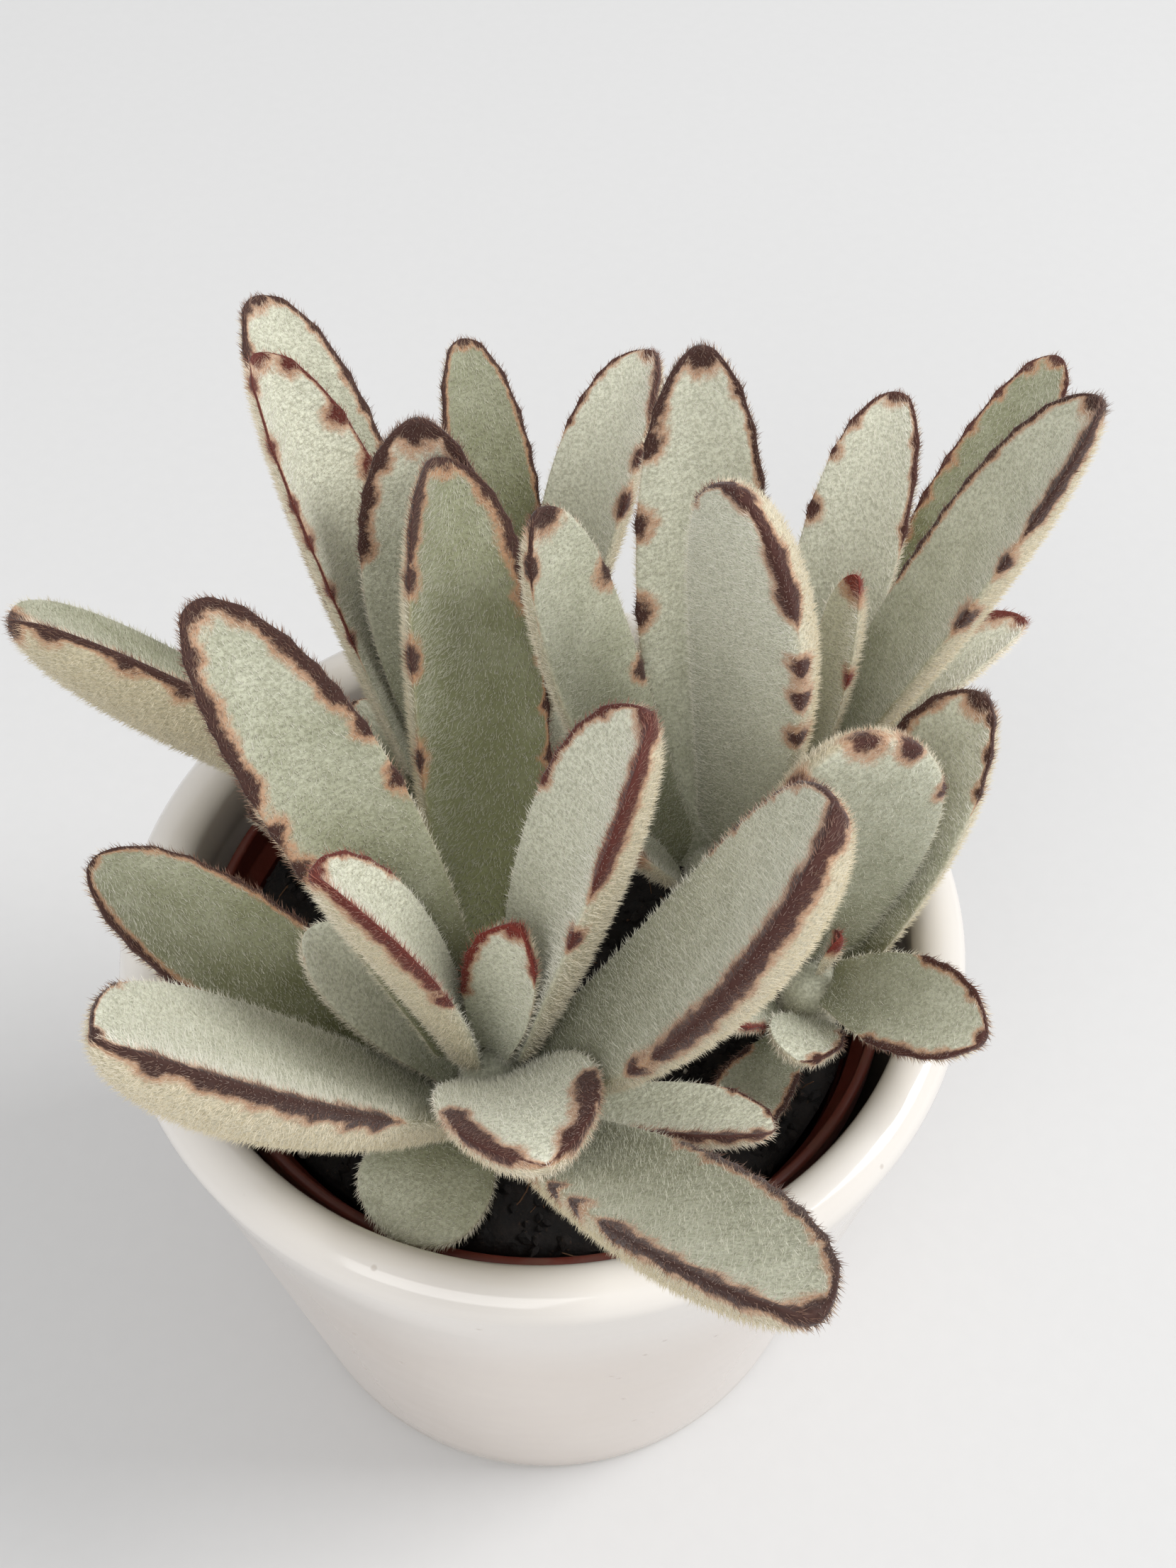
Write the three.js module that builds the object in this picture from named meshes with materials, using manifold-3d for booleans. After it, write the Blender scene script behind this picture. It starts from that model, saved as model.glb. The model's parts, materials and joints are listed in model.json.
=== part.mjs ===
// Potted panda plant: a felted succulent in a nursery pot that stands inside a glazed cover pot.
// Millimetres, +Z up. The origin is the middle of the cover pot's foot, on the table.
import Module from 'manifold-3d';
import * as THREE from 'three';
import { mergeVertices } from 'three/addons/utils/BufferGeometryUtils.js';

const wasm = await Module();
wasm.setup();

// ---- Cover pot ----
const POT_HEIGHT = 96.9;
const POT_RIM_RADIUS = 55;
const POT_FOOT_RADIUS = 43.4;
const POT_WALL = 4.5;
const POT_LIP = 7;
const POT_LIP_DEPTH = 13;
const POT_FLOOR = 5;
const FOOT_ROUNDING = 1.6;

// ---- Nursery pot and soil ----
const SEAT_GAP = 0.3;
const NURSERY_RIM_GAP = 2.2;
const NURSERY_FOOT_GAP = 6.9;
const NURSERY_RIM_DROP = 9.1;
const NURSERY_WALL = 1.2;
const NURSERY_BEAD = 2;
const NURSERY_BEAD_DEPTH = 6;
const DRAIN_HOLES = 6;
const DRAIN_RADIUS = 3;
const DRAIN_CIRCLE = 20;
const DRILL_LENGTH = 4.8;
const SOIL_BELOW_RIM = 4;
const SOIL_EDGE_DROP = 1;

// ---- Stems and leaves ----
const STEM_RADIUS = 4;
const LEAF_BASE_SHARE = 0.42;
const LEAF_WIDEST_AT = 0.6;
const LEAF_FACE_RISE = 0.22;
const LEAF_KEEL_DEPTH = 0.48;
const LEAF_TIP_BLUNTNESS = 2.3;
const ROLL_CLEARANCE = 0.125;

// ---- Fineness of the faceted solids ----
const POT_SIDES = 48;
const NURSERY_SIDES = 40;
const LEAF_SIDES = 12;
const LEAF_BANDS = 9;
const STEM_SIDES = 12;
const DRAIN_SIDES = 10;
const FOOT_STEPS = 3;
const LIP_STEPS = 8;
const DOME_STEPS = 3;
const MERGE_DISTANCE = 1e-4;
const NEARLY_ZERO = 1e-6;

// The nursery pot hangs back from the cover pot by its gaps, and the soil follows its rim.
const NURSERY_BASE_RADIUS = POT_FOOT_RADIUS - POT_WALL - NURSERY_FOOT_GAP;
const NURSERY_RIM_RADIUS = POT_RIM_RADIUS - POT_LIP - NURSERY_RIM_GAP;
const NURSERY_BASE_Z = POT_FLOOR + SEAT_GAP;
const NURSERY_RIM_Z = POT_HEIGHT - NURSERY_RIM_DROP;
const SOIL_TOP_Z = NURSERY_RIM_Z - SOIL_BELOW_RIM;

// Each stem: where it leaves the soil, how high its growing tip stands above it, and its leaves.
// A leaf: name, compass direction, height of its seat above the soil, rise above level at its base,
// how far it curls up along its length (all angles in degrees), length, width, fold, roll.
// Fold lifts the two edges above the middle, as a share of the half width.
const STEMS = [
  {
    name: 'front', x: -7, y: -25, top: 17.7,
    leaves: [
      ['front_1', -125.1, 6.05, 9.1, -12.2, 16.9, 16, 0.2, -3.4],
      ['front_2', 158.9, 2.3, 35.6, 1.4, 54.9, 15.6, 0.29, -5.4],
      ['front_3', -15.1, 4.8, 16.8, 0.3, 31.3, 10, 0.47, -23.1],
      ['front_4', -58.1, 7.9, 44.4, -2, 68.7, 17.5, 0.35, -17.5],
      ['front_5', 153, 9.9, 45, 0, 27, 11, 0.25, 0],
      ['front_6', -153.5, 8.6, 46.1, 15, 58.4, 22.5, 0.35, 18],
      ['front_7', 94.3, 9.4, 49.3, -4, 72.9, 18.2, 0.58, 30.2],
      ['front_8', -10.1, 14, 49.3, 27.6, 65.5, 22.5, 0.26, -1.7],
      ['front_9', 141.9, 15.6, 74.8, -26.5, 65.7, 14.7, 0.36, -16],
      ['front_10', -74.8, 16.5, 60.3, -29.5, 29.4, 17.7, 0.39, 0],
      ['front_11', 177.8, 17.1, 82.5, -23.5, 41.2, 11.7, 0.55, 14.3],
      ['front_12', 36, 16.1, 72.6, -6, 51.5, 17.2, 0.44, -20.4],
      ['front_13', 42.4, 18.2, 79, -0.9, 22.4, 9.3, 0.43, 13.1],
      ['front_14', 101.9, 16.6, 81, -5.9, 14.2, 3.2, 0.5, 0],
    ],
  },
  {
    name: 'left', x: -13, y: 20, top: 19.2,
    leaves: [
      ['left_1', 189.6, 6.5, 48, 2.4, 64.7, 20.2, 0.41, 29.9],
      ['left_2', 117.2, 6.8, 59.2, -16.6, 70.1, 16.6, 0.4, 15.3],
      ['left_3', 135, 11.7, 77.1, -15.9, 63.2, 13.7, 0.6, 7.1],
      ['left_4', 92.1, 17.8, 84.7, -9.2, 49.2, 16.3, 0.33, 0.3],
      ['left_5', -176, 2.7, 14, 10, 24, 10, 0.4, 0],
      ['left_6', 128, 4.2, 16, 0, 19, 10, 0.3, 0],
    ],
  },
  {
    name: 'back', x: 0, y: 33, top: 17.2,
    leaves: [
      ['back_1', 106.3, 10.1, 63.6, -11.7, 51.4, 12, 0.34, 5.6],
      ['back_2', 59.7, 14.5, 66.1, -24, 47.9, 14, 0.53, -19.4],
      ['back_3', 165, 6.2, 20, -10, 13, 9, 0.4, 0],
      ['back_4', 0, 5.2, 44, -10, 20, 10, 0.4, 0],
      ['back_5', -90, 15.2, 78, 6, 16, 7, 0.4, 0],
    ],
  },
  {
    name: 'middle', x: 22.5, y: 4, top: 16.2,
    leaves: [
      ['middle_1', 96, 6.2, 66.5, 7.4, 73.2, 15.9, 0.37, -8.4],
      ['middle_2', 39.4, 16.2, 82.7, 21.2, 65, 21.4, 0.09, -8.8],
      ['middle_3', 149.4, 11.8, 59.5, 18.8, 58.1, 14.5, 0.23, -5.7],
      ['middle_4', 197.5, 12.6, 56.3, 0, 14.2, 6.7, 0.4, -0.1],
    ],
  },
  {
    name: 'right', x: 32, y: 13, top: 20.2,
    leaves: [
      ['right_1', 108, 6.2, 32, -10, 20, 10, 0.4, 0],
      ['right_2', 48.3, 6.9, 43.1, 0, 71.1, 12.4, 0.39, 6],
      ['right_3', 20.5, 17.4, 61.2, 2.4, 63.2, 14.8, 0.45, -12.6],
      ['right_4', 67.5, 10.4, 53.6, -13, 56.7, 13.8, 0.35, -11.9],
      ['right_5', 24.9, 14.3, 47.9, -29.5, 37.2, 8.5, 0.6, -5.1],
      ['right_6', 28.4, 18.8, 80.2, 11.4, 36.7, 6.8, 0.44, 0.2],
    ],
  },
  {
    name: 'small', x: 34, y: -12, top: 13.2,
    leaves: [
      ['small_1', 44.5, 5.7, 61.5, -0.9, 44.3, 15.6, 0.38, -11.8],
      ['small_2', -49.2, 12.8, 41.1, -14.2, 25.6, 11.9, 0.43, 28.6],
      ['small_3', -105, 8.7, 45, -20, 12, 9, 0.3, 0],
      ['small_4', -155, 6.2, 40, 0, 19, 8, 0.5, 0],
      ['small_5', -125, 2.7, 6, 10, 19, 9, 0.3, 0],
      ['small_6', -20, 13.5, 80, -0.1, 9, 3.8, 0.5, 0.2],
      ['small_7', 72.6, 12.9, 85.4, 5.3, 41.2, 22.4, 0.09, 31],
    ],
  },
];

const finish = (colour, roughness) =>
  new THREE.MeshStandardMaterial({ color: colour, roughness, metalness: 0 });

const plant = new THREE.Group();

function addPiece(name, geometry, material) {
  const mesh = new THREE.Mesh(geometry, material);
  mesh.name = name;
  plant.add(mesh);
}

function toSolid(geometry) {
  const bare = geometry.clone();
  bare.deleteAttribute('normal');
  bare.deleteAttribute('uv');
  const merged = mergeVertices(bare, MERGE_DISTANCE);
  const vertProperties = new Float32Array(merged.attributes.position.array);
  const triVerts = new Uint32Array(merged.index.array);
  return new wasm.Manifold(new wasm.Mesh({ numProp: 3, vertProperties, triVerts }));
}

function toGeometry(solid) {
  const mesh = solid.getMesh();
  const geometry = new THREE.BufferGeometry();
  geometry.setAttribute('position', new THREE.BufferAttribute(mesh.vertProperties, 3));
  geometry.setIndex(new THREE.BufferAttribute(mesh.triVerts, 1));
  return geometry;
}

// A solid of revolution about Z from (radius, height) points that run from the axis to the axis.
function turned(points, sides) {
  const profile = points.map(([radius, height]) => new THREE.Vector2(radius, height));
  return new THREE.LatheGeometry(profile, sides).rotateX(Math.PI / 2);
}

// Points of a rounded corner in (radius, height), from one angle to another, in degrees.
function arc(centreRadius, centreHeight, size, from, to, steps) {
  return Array.from({ length: steps + 1 }, (_, i) => {
    const angle = THREE.MathUtils.degToRad(from + ((to - from) * i) / steps);
    return [centreRadius + size * Math.cos(angle), centreHeight + size * Math.sin(angle)];
  });
}

function coverPot() {
  const lipHalf = POT_LIP / 2;
  const lipCentre = POT_RIM_RADIUS - lipHalf;
  const innerFoot = POT_FOOT_RADIUS - POT_WALL;
  const throatZ = POT_HEIGHT - POT_LIP_DEPTH;
  const outerAtThroat = THREE.MathUtils.mapLinear(
    throatZ, 0, POT_HEIGHT, POT_FOOT_RADIUS, POT_RIM_RADIUS);
  return turned([
    [0, 0],
    ...arc(POT_FOOT_RADIUS - FOOT_ROUNDING, FOOT_ROUNDING, FOOT_ROUNDING, -90, 0, FOOT_STEPS),
    ...arc(lipCentre, POT_HEIGHT - lipHalf, lipHalf, 0, 180, LIP_STEPS),
    [outerAtThroat - POT_WALL, throatZ],
    [innerFoot, POT_FLOOR + FOOT_ROUNDING],
    [innerFoot - FOOT_ROUNDING, POT_FLOOR],
    [0, POT_FLOOR],
  ], POT_SIDES);
}

function nurseryPot() {
  const beadRadius = NURSERY_RIM_RADIUS - NURSERY_BEAD;
  const beadZ = NURSERY_RIM_Z - NURSERY_BEAD_DEPTH;
  const innerRim = beadRadius - NURSERY_WALL;
  const shell = turned([
    [0, NURSERY_BASE_Z],
    [NURSERY_BASE_RADIUS, NURSERY_BASE_Z],
    [beadRadius, beadZ],
    [NURSERY_RIM_RADIUS, beadZ],
    [NURSERY_RIM_RADIUS, NURSERY_RIM_Z],
    [innerRim + NURSERY_BEAD, NURSERY_RIM_Z],
    [innerRim, beadZ],
    [NURSERY_BASE_RADIUS - NURSERY_WALL, NURSERY_BASE_Z + NURSERY_WALL],
    [0, NURSERY_BASE_Z + NURSERY_WALL],
  ], NURSERY_SIDES);
  let pot = toSolid(shell);
  for (let i = 0; i < DRAIN_HOLES; i += 1) {
    const angle = (2 * Math.PI * i) / DRAIN_HOLES;
    const drill = new THREE.CylinderGeometry(
      DRAIN_RADIUS, DRAIN_RADIUS, DRILL_LENGTH, DRAIN_SIDES);
    drill.rotateX(Math.PI / 2);
    drill.translate(
      DRAIN_CIRCLE * Math.cos(angle), DRAIN_CIRCLE * Math.sin(angle), NURSERY_BASE_Z);
    pot = pot.subtract(toSolid(drill));
  }
  return toGeometry(pot);
}

// The soil fills the nursery pot up to its level top, one gap inside the pot's wall.
function soil() {
  const bottomZ = NURSERY_BASE_Z + NURSERY_WALL + SEAT_GAP;
  const wallRadius = (z) => THREE.MathUtils.mapLinear(
    z, NURSERY_BASE_Z, NURSERY_RIM_Z - NURSERY_BEAD_DEPTH,
    NURSERY_BASE_RADIUS, NURSERY_RIM_RADIUS - NURSERY_BEAD) - NURSERY_WALL - 2 * SEAT_GAP;
  const shoulderZ = NURSERY_RIM_Z - NURSERY_BEAD_DEPTH;
  return turned([
    [0, bottomZ],
    [wallRadius(bottomZ), bottomZ],
    [wallRadius(shoulderZ), shoulderZ],
    [wallRadius(shoulderZ), SOIL_TOP_Z - SOIL_EDGE_DROP],
    [wallRadius(shoulderZ) - SOIL_EDGE_DROP, SOIL_TOP_Z],
    [0, SOIL_TOP_Z],
  ], NURSERY_SIDES);
}

// Radius of a stem at a height above the soil: straight, then a dome up to its growing tip.
function stemRadius(stem, height) {
  const below = Math.max(0, height - (stem.top - STEM_RADIUS));
  return Math.sqrt(Math.max(0, STEM_RADIUS ** 2 - below ** 2));
}

function stemPiece(stem) {
  const dome = arc(0, stem.top - STEM_RADIUS, STEM_RADIUS, 0, 90, DOME_STEPS);
  const piece = turned([[0, SEAT_GAP], [STEM_RADIUS, SEAT_GAP], ...dome], STEM_SIDES);
  return piece.translate(stem.x, stem.y, SOIL_TOP_Z);
}

// Half the width of a leaf at a share of its length, for a half width of one.
function leafOutline(share) {
  const swell = Math.sin((Math.PI / 2) * Math.min(1, share / LEAF_WIDEST_AT));
  const body = LEAF_BASE_SHARE + (1 - LEAF_BASE_SHARE) * swell;
  const past = Math.max(0, (share - LEAF_WIDEST_AT) / (1 - LEAF_WIDEST_AT));
  return body * Math.sqrt(1 - past ** LEAF_TIP_BLUNTNESS);
}

// Distance out and up along a leaf's spine, an arc of a circle in its upright plane.
function spineAt(share, rise, curl, length) {
  const middle = rise + (curl * share) / 2;
  const half = (curl * share) / 2;
  const chord = share * length * (Math.abs(half) < NEARLY_ZERO ? 1 : Math.sin(half) / half);
  return [chord * Math.cos(middle), chord * Math.sin(middle)];
}

// One leaf, as a sphere whose bands are moved onto the spine: the sphere's pole-to-pole axis
// becomes the leaf's length, one half of each band its face and the other half its keel.
function leafPiece(stem, [, azimuth, height, riseAngle, curlAngle, length, width, fold, rollAngle]) {
  const rise = THREE.MathUtils.degToRad(riseAngle);
  const curl = THREE.MathUtils.degToRad(curlAngle);
  const roll = THREE.MathUtils.degToRad(rollAngle);
  const heading = THREE.MathUtils.degToRad(azimuth);
  const halfWidth = width / 2;
  const outward = new THREE.Vector3(Math.cos(heading), Math.sin(heading), 0);
  const upward = new THREE.Vector3(0, 0, 1);
  const baseHalf = LEAF_BASE_SHARE * halfWidth;
  const clearance = baseHalf * (LEAF_FACE_RISE * Math.sin(rise) + ROLL_CLEARANCE * Math.abs(Math.sin(roll)));
  const reach = stemRadius(stem, height) + SEAT_GAP + clearance;
  const seatZ = SOIL_TOP_Z + height;
  const seat = new THREE.Vector3(stem.x, stem.y, seatZ).addScaledVector(outward, reach);
  const geometry = new THREE.SphereGeometry(1, LEAF_SIDES, LEAF_BANDS);
  const place = geometry.attributes.position;
  for (let i = 0; i < place.count; i += 1) {
    const ring = Math.hypot(place.getX(i), place.getZ(i));
    const across = ring > NEARLY_ZERO ? place.getX(i) / ring : 0;
    const above = ring > NEARLY_ZERO ? place.getZ(i) / ring : 0;
    const share = (1 - place.getY(i)) / 2;
    const lean = rise + curl * share;
    const along = outward.clone().multiplyScalar(Math.cos(lean))
      .addScaledVector(upward, Math.sin(lean));
    const face = upward.clone().multiplyScalar(Math.cos(lean))
      .addScaledVector(outward, -Math.sin(lean));
    face.applyAxisAngle(along, roll);
    const side = face.clone().cross(along);
    const half = ring > NEARLY_ZERO ? halfWidth * leafOutline(share) : 0;
    const thickness = above > 0 ? LEAF_FACE_RISE : LEAF_KEEL_DEPTH;
    const [out, up] = spineAt(share, rise, curl, length);
    const point = seat.clone().addScaledVector(outward, out).addScaledVector(upward, up)
      .addScaledVector(side, half * across)
      .addScaledVector(face, half * (thickness * above + fold * across ** 2));
    place.setXYZ(i, point.x, point.y, point.z);
  }
  return geometry;
}

addPiece('cover_pot', coverPot(), finish(0xe9e4df, 0.25));
addPiece('nursery_pot', nurseryPot(), finish(0x6b3026, 0.45));
addPiece('soil', soil(), finish(0x2a1f19, 1));
for (const stem of STEMS) {
  addPiece(`stem_${stem.name}`, stemPiece(stem), finish(0x9caa7c, 0.8));
  for (const leaf of stem.leaves) {
    addPiece(`leaf_${leaf[0]}`, leafPiece(stem, leaf), finish(0xa9b79c, 0.9));
  }
}

export default plant;
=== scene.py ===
# %% [markdown]
# # A panda plant in a glazed pot
#
# A young potted kalanchoe: thick felted leaves on six short stems, dark peat, a brown nursery
# pot, and a white glazed cover pot around it. The measured model gives every place and size.
# This script dresses it: each cell explains one piece or one finish, and then makes it.
#
# The measured model comes first, because nothing in it moves. Its lengths are in metres;
# profiles and marks are written in millimetres and turned into metres by `MM`.

# %% Load the measured model
import json
import math

import bmesh
import bpy
import numpy as np
from mathutils import Matrix, Vector

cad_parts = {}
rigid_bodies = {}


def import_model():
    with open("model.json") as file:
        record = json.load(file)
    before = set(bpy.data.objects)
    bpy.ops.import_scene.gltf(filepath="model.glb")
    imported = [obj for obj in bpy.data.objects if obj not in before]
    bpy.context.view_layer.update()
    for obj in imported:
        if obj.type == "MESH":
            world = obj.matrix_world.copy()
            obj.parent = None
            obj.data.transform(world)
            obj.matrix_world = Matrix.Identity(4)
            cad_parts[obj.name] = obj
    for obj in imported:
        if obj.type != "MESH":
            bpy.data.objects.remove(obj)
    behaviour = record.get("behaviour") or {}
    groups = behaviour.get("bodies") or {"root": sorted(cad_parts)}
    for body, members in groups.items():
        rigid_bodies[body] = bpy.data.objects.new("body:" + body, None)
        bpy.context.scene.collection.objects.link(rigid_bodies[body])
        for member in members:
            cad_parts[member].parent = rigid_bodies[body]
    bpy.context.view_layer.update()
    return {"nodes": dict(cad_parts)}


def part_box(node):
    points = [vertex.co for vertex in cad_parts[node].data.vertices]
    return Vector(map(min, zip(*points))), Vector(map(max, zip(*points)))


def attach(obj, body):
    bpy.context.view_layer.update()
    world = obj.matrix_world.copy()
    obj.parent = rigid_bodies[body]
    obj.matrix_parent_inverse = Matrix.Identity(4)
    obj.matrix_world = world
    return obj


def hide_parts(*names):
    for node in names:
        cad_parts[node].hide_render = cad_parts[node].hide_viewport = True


for spare in [o for o in bpy.data.objects if o.name in ("Cube", "Light", "Camera")]:
    bpy.data.objects.remove(spare)

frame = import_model()
MM = 0.001
SEED = 7
scene = bpy.context.scene
print("parts in the measured model:", len(frame["nodes"]))

# %% [markdown]
# ## Camera
#
# The camera looks down into the pot at a steep angle, as you would at a plant on a table.
# Its direction is built from three turns: how far it looks down, how far it is swung to the
# side, and a small tilt. A long-side sensor of 36 mm keeps the lens number easy to read.

# %% Place the camera
LOOK_DOWN = 0.9095
SWING = -0.0518
TILT = 0.0141
FOCAL_LENGTH = 38.98
CAMERA_PLACE = (-0.000913, -0.123629, 0.2805)


def camera_axes():
    """The camera's right, up and forward directions."""
    level = Vector((math.cos(SWING), math.sin(SWING), 0))
    forward = Vector((-math.sin(SWING) * math.cos(LOOK_DOWN),
                      math.cos(SWING) * math.cos(LOOK_DOWN), -math.sin(LOOK_DOWN)))
    lifted = level.cross(forward)
    right = level * math.cos(TILT) + lifted * math.sin(TILT)
    up = lifted * math.cos(TILT) - level * math.sin(TILT)
    return right, up, forward


lens = bpy.data.cameras.new("table_view")
lens.lens = FOCAL_LENGTH
lens.sensor_width = 36
lens.clip_start = 0.01
camera = bpy.data.objects.new("table_view", lens)
scene.collection.objects.link(camera)
right, up, forward = camera_axes()
turn = np.array([right, up, -forward]).T
camera.rotation_euler = Matrix(turn.tolist()).to_euler()
camera.location = CAMERA_PLACE
scene.camera = camera
print("camera looks down by", round(math.degrees(LOOK_DOWN), 1), "degrees")

# %% [markdown]
# ## Writing node trees as arithmetic
#
# Finishes and shape trees are both made of nodes. Wiring them one link at a time hides the
# idea, so one small class wraps a socket and gives it + - * : an expression such as
# `1 - mask` then adds the Math nodes by itself. Every other node comes from `Book.node`,
# which takes the node's type, its settings, and what goes into its sockets.

# %% A socket that can be added and multiplied
class Wire:
    """One output socket of a node tree."""

    def __init__(self, book, socket):
        self.book = book
        self.socket = socket

    def sum(self, operation, *values):
        inputs = dict(enumerate(values))
        return self.book.node("ShaderNodeMath", {"operation": operation}, inputs)

    def __add__(self, other):
        return self.sum("ADD", self, other)

    def __radd__(self, other):
        return self.sum("ADD", other, self)

    def __sub__(self, other):
        return self.sum("SUBTRACT", self, other)

    def __rsub__(self, other):
        return self.sum("SUBTRACT", other, self)

    def __mul__(self, other):
        return self.sum("MULTIPLY", self, other)

    def __rmul__(self, other):
        return self.sum("MULTIPLY", other, self)

    def step(self, low, high):
        """0 below low, 1 above high, and a smooth slope between."""
        inputs = {"Value": self, "From Min": low, "From Max": high}
        settings = {"interpolation_type": "SMOOTHSTEP", "clamp": True}
        return self.book.node("ShaderNodeMapRange", settings, inputs)


class Book:
    """Adds nodes to one tree."""

    def __init__(self, tree):
        self.tree = tree

    def node(self, kind, settings=None, inputs=None, output=0):
        made = self.tree.nodes.new(kind)
        for name, value in (settings or {}).items():
            setattr(made, name, value)
        for name, value in (inputs or {}).items():
            if isinstance(value, Wire):
                self.tree.links.new(value.socket, made.inputs[name])
            else:
                made.inputs[name].default_value = value
        return Wire(self, made.outputs[output]) if len(made.outputs) else made

    def mix(self, share, first, second):
        """A colour between two colours: first where share is 0, second where it is 1."""
        inputs = {0: share, 6: first, 7: second}
        return self.node("ShaderNodeMix", {"data_type": "RGBA"}, inputs, 2)

    def noise(self, place, scale, detail=3.0, roughness=0.5):
        inputs = {"Vector": place, "Scale": scale, "Detail": detail, "Roughness": roughness}
        return self.node("ShaderNodeTexNoise", None, inputs)

    def stored(self, name):
        return self.node("ShaderNodeAttribute", {"attribute_name": name}, None, "Fac")

    def place(self):
        return self.node("ShaderNodeTexCoord", None, None, "Object")


def colour(red, green, blue):
    """A screen colour, 0 to 255, as the light values that nodes use."""
    def light(value):
        value = value / 255
        return value / 12.92 if value <= 0.04045 else ((value + 0.055) / 1.055) ** 2.4
    return (light(red), light(green), light(blue), 1.0)


def finish(name, colour_and_more):
    """A finish from a function that takes a Book and returns what goes into the shader."""
    made = bpy.data.materials.new(name)
    made.use_nodes = True
    made.node_tree.nodes.clear()
    book = Book(made.node_tree)
    inputs = colour_and_more(book)
    bump = inputs.pop("bump", None)
    if bump:
        height, depth, strength = bump
        settings = {"Height": height, "Distance": depth, "Strength": strength}
        inputs["Normal"] = book.node("ShaderNodeBump", None, settings)
    shader = book.node("ShaderNodeBsdfPrincipled", None, inputs)
    book.node("ShaderNodeOutputMaterial", None, {"Surface": shader})
    return made


print("a Wire adds, subtracts and multiplies")

# %% [markdown]
# ## Shape trees
#
# Geometry Nodes do the work that repeats: turning a profile round an axis, drilling a ring
# of holes, sowing crumbs and growing hairs. Each tree has named inputs with sensible sizes.
# `run_tree` adds the tree to a piece, sets its inputs by their identifiers, lets Blender
# evaluate it once, and keeps the result as a plain mesh, so that nothing is left live.

# %% Make and run shape trees
def open_tree(name, sockets):
    """A new shape tree with named inputs. Returns it with a Book and the inputs as wires."""
    tree = bpy.data.node_groups.new(name, "GeometryNodeTree")
    tree.interface.new_socket("Geometry", in_out="INPUT", socket_type="NodeSocketGeometry")
    for label, (kind, value) in sockets.items():
        made = tree.interface.new_socket(label, in_out="INPUT", socket_type="NodeSocket" + kind)
        if value is not None:
            made.default_value = value
    tree.interface.new_socket("Geometry", in_out="OUTPUT", socket_type="NodeSocketGeometry")
    book = Book(tree)
    start = tree.nodes.new("NodeGroupInput")
    wires = {s.name: Wire(book, s) for s in start.outputs if s.name}
    return tree, book, wires


def close_tree(book, geometry):
    end = book.tree.nodes.new("NodeGroupOutput")
    book.tree.links.new(geometry.socket, end.inputs[0])


def run_tree(piece, tree, **values):
    """Runs a shape tree over a piece and keeps the outcome as its mesh."""
    made = piece.modifiers.new(tree.name, "NODES")
    made.node_group = tree
    wanted = {label.replace("_", " ").capitalize(): value for label, value in values.items()}
    for item in tree.interface.items_tree:
        if item.item_type == "SOCKET" and item.in_out == "INPUT" and item.name in wanted:
            made[item.identifier] = wanted.pop(item.name)
    if wanted:
        raise ValueError(f"{tree.name} has no input called {sorted(wanted)}")
    keep_result(piece)


def keep_result(piece):
    """Replaces a piece's mesh and modifiers by the mesh that they make."""
    graph = bpy.context.evaluated_depsgraph_get()
    seen = piece.evaluated_get(graph)
    mesh = bpy.data.meshes.new_from_object(seen, preserve_all_data_layers=True, depsgraph=graph)
    piece.modifiers.clear()
    before = piece.data
    piece.data = mesh
    bpy.data.meshes.remove(before)
    mesh.name = piece.name


def new_piece(name, points, faces=(), edges=()):
    mesh = bpy.data.meshes.new(name)
    mesh.from_pydata([tuple(p) for p in points], list(edges), list(faces))
    piece = bpy.data.objects.new(name, mesh)
    scene.collection.objects.link(piece)
    return piece


def point_outwards(piece):
    tidy = bmesh.new()
    tidy.from_mesh(piece.data)
    bmesh.ops.remove_doubles(tidy, verts=tidy.verts, dist=0.01 * MM)
    bmesh.ops.recalc_face_normals(tidy, faces=tidy.faces)
    tidy.to_mesh(piece.data)
    tidy.free()


def smooth(piece, sharpest=math.radians(40)):
    piece.data.shade_smooth()
    piece.data.set_sharp_from_angle(angle=sharpest)


print("shape trees are ready")

# %% [markdown]
# ## The potter's wheel
#
# Both pots and the peat are round. A potter turns them from one profile, and so does this
# tree: the profile is a line of (radius, height) points, its corners are filleted by the
# radius stored on each point, and it is swept once round a circle. The sweep's circle has
# the radius `Wheel radius`, and the profile is shifted by as much, which leaves each point
# at its own radius. Points on the axis meet there and are merged, so the poles are closed.

# %% The turning tree
TURN_STEPS = 144


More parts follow.
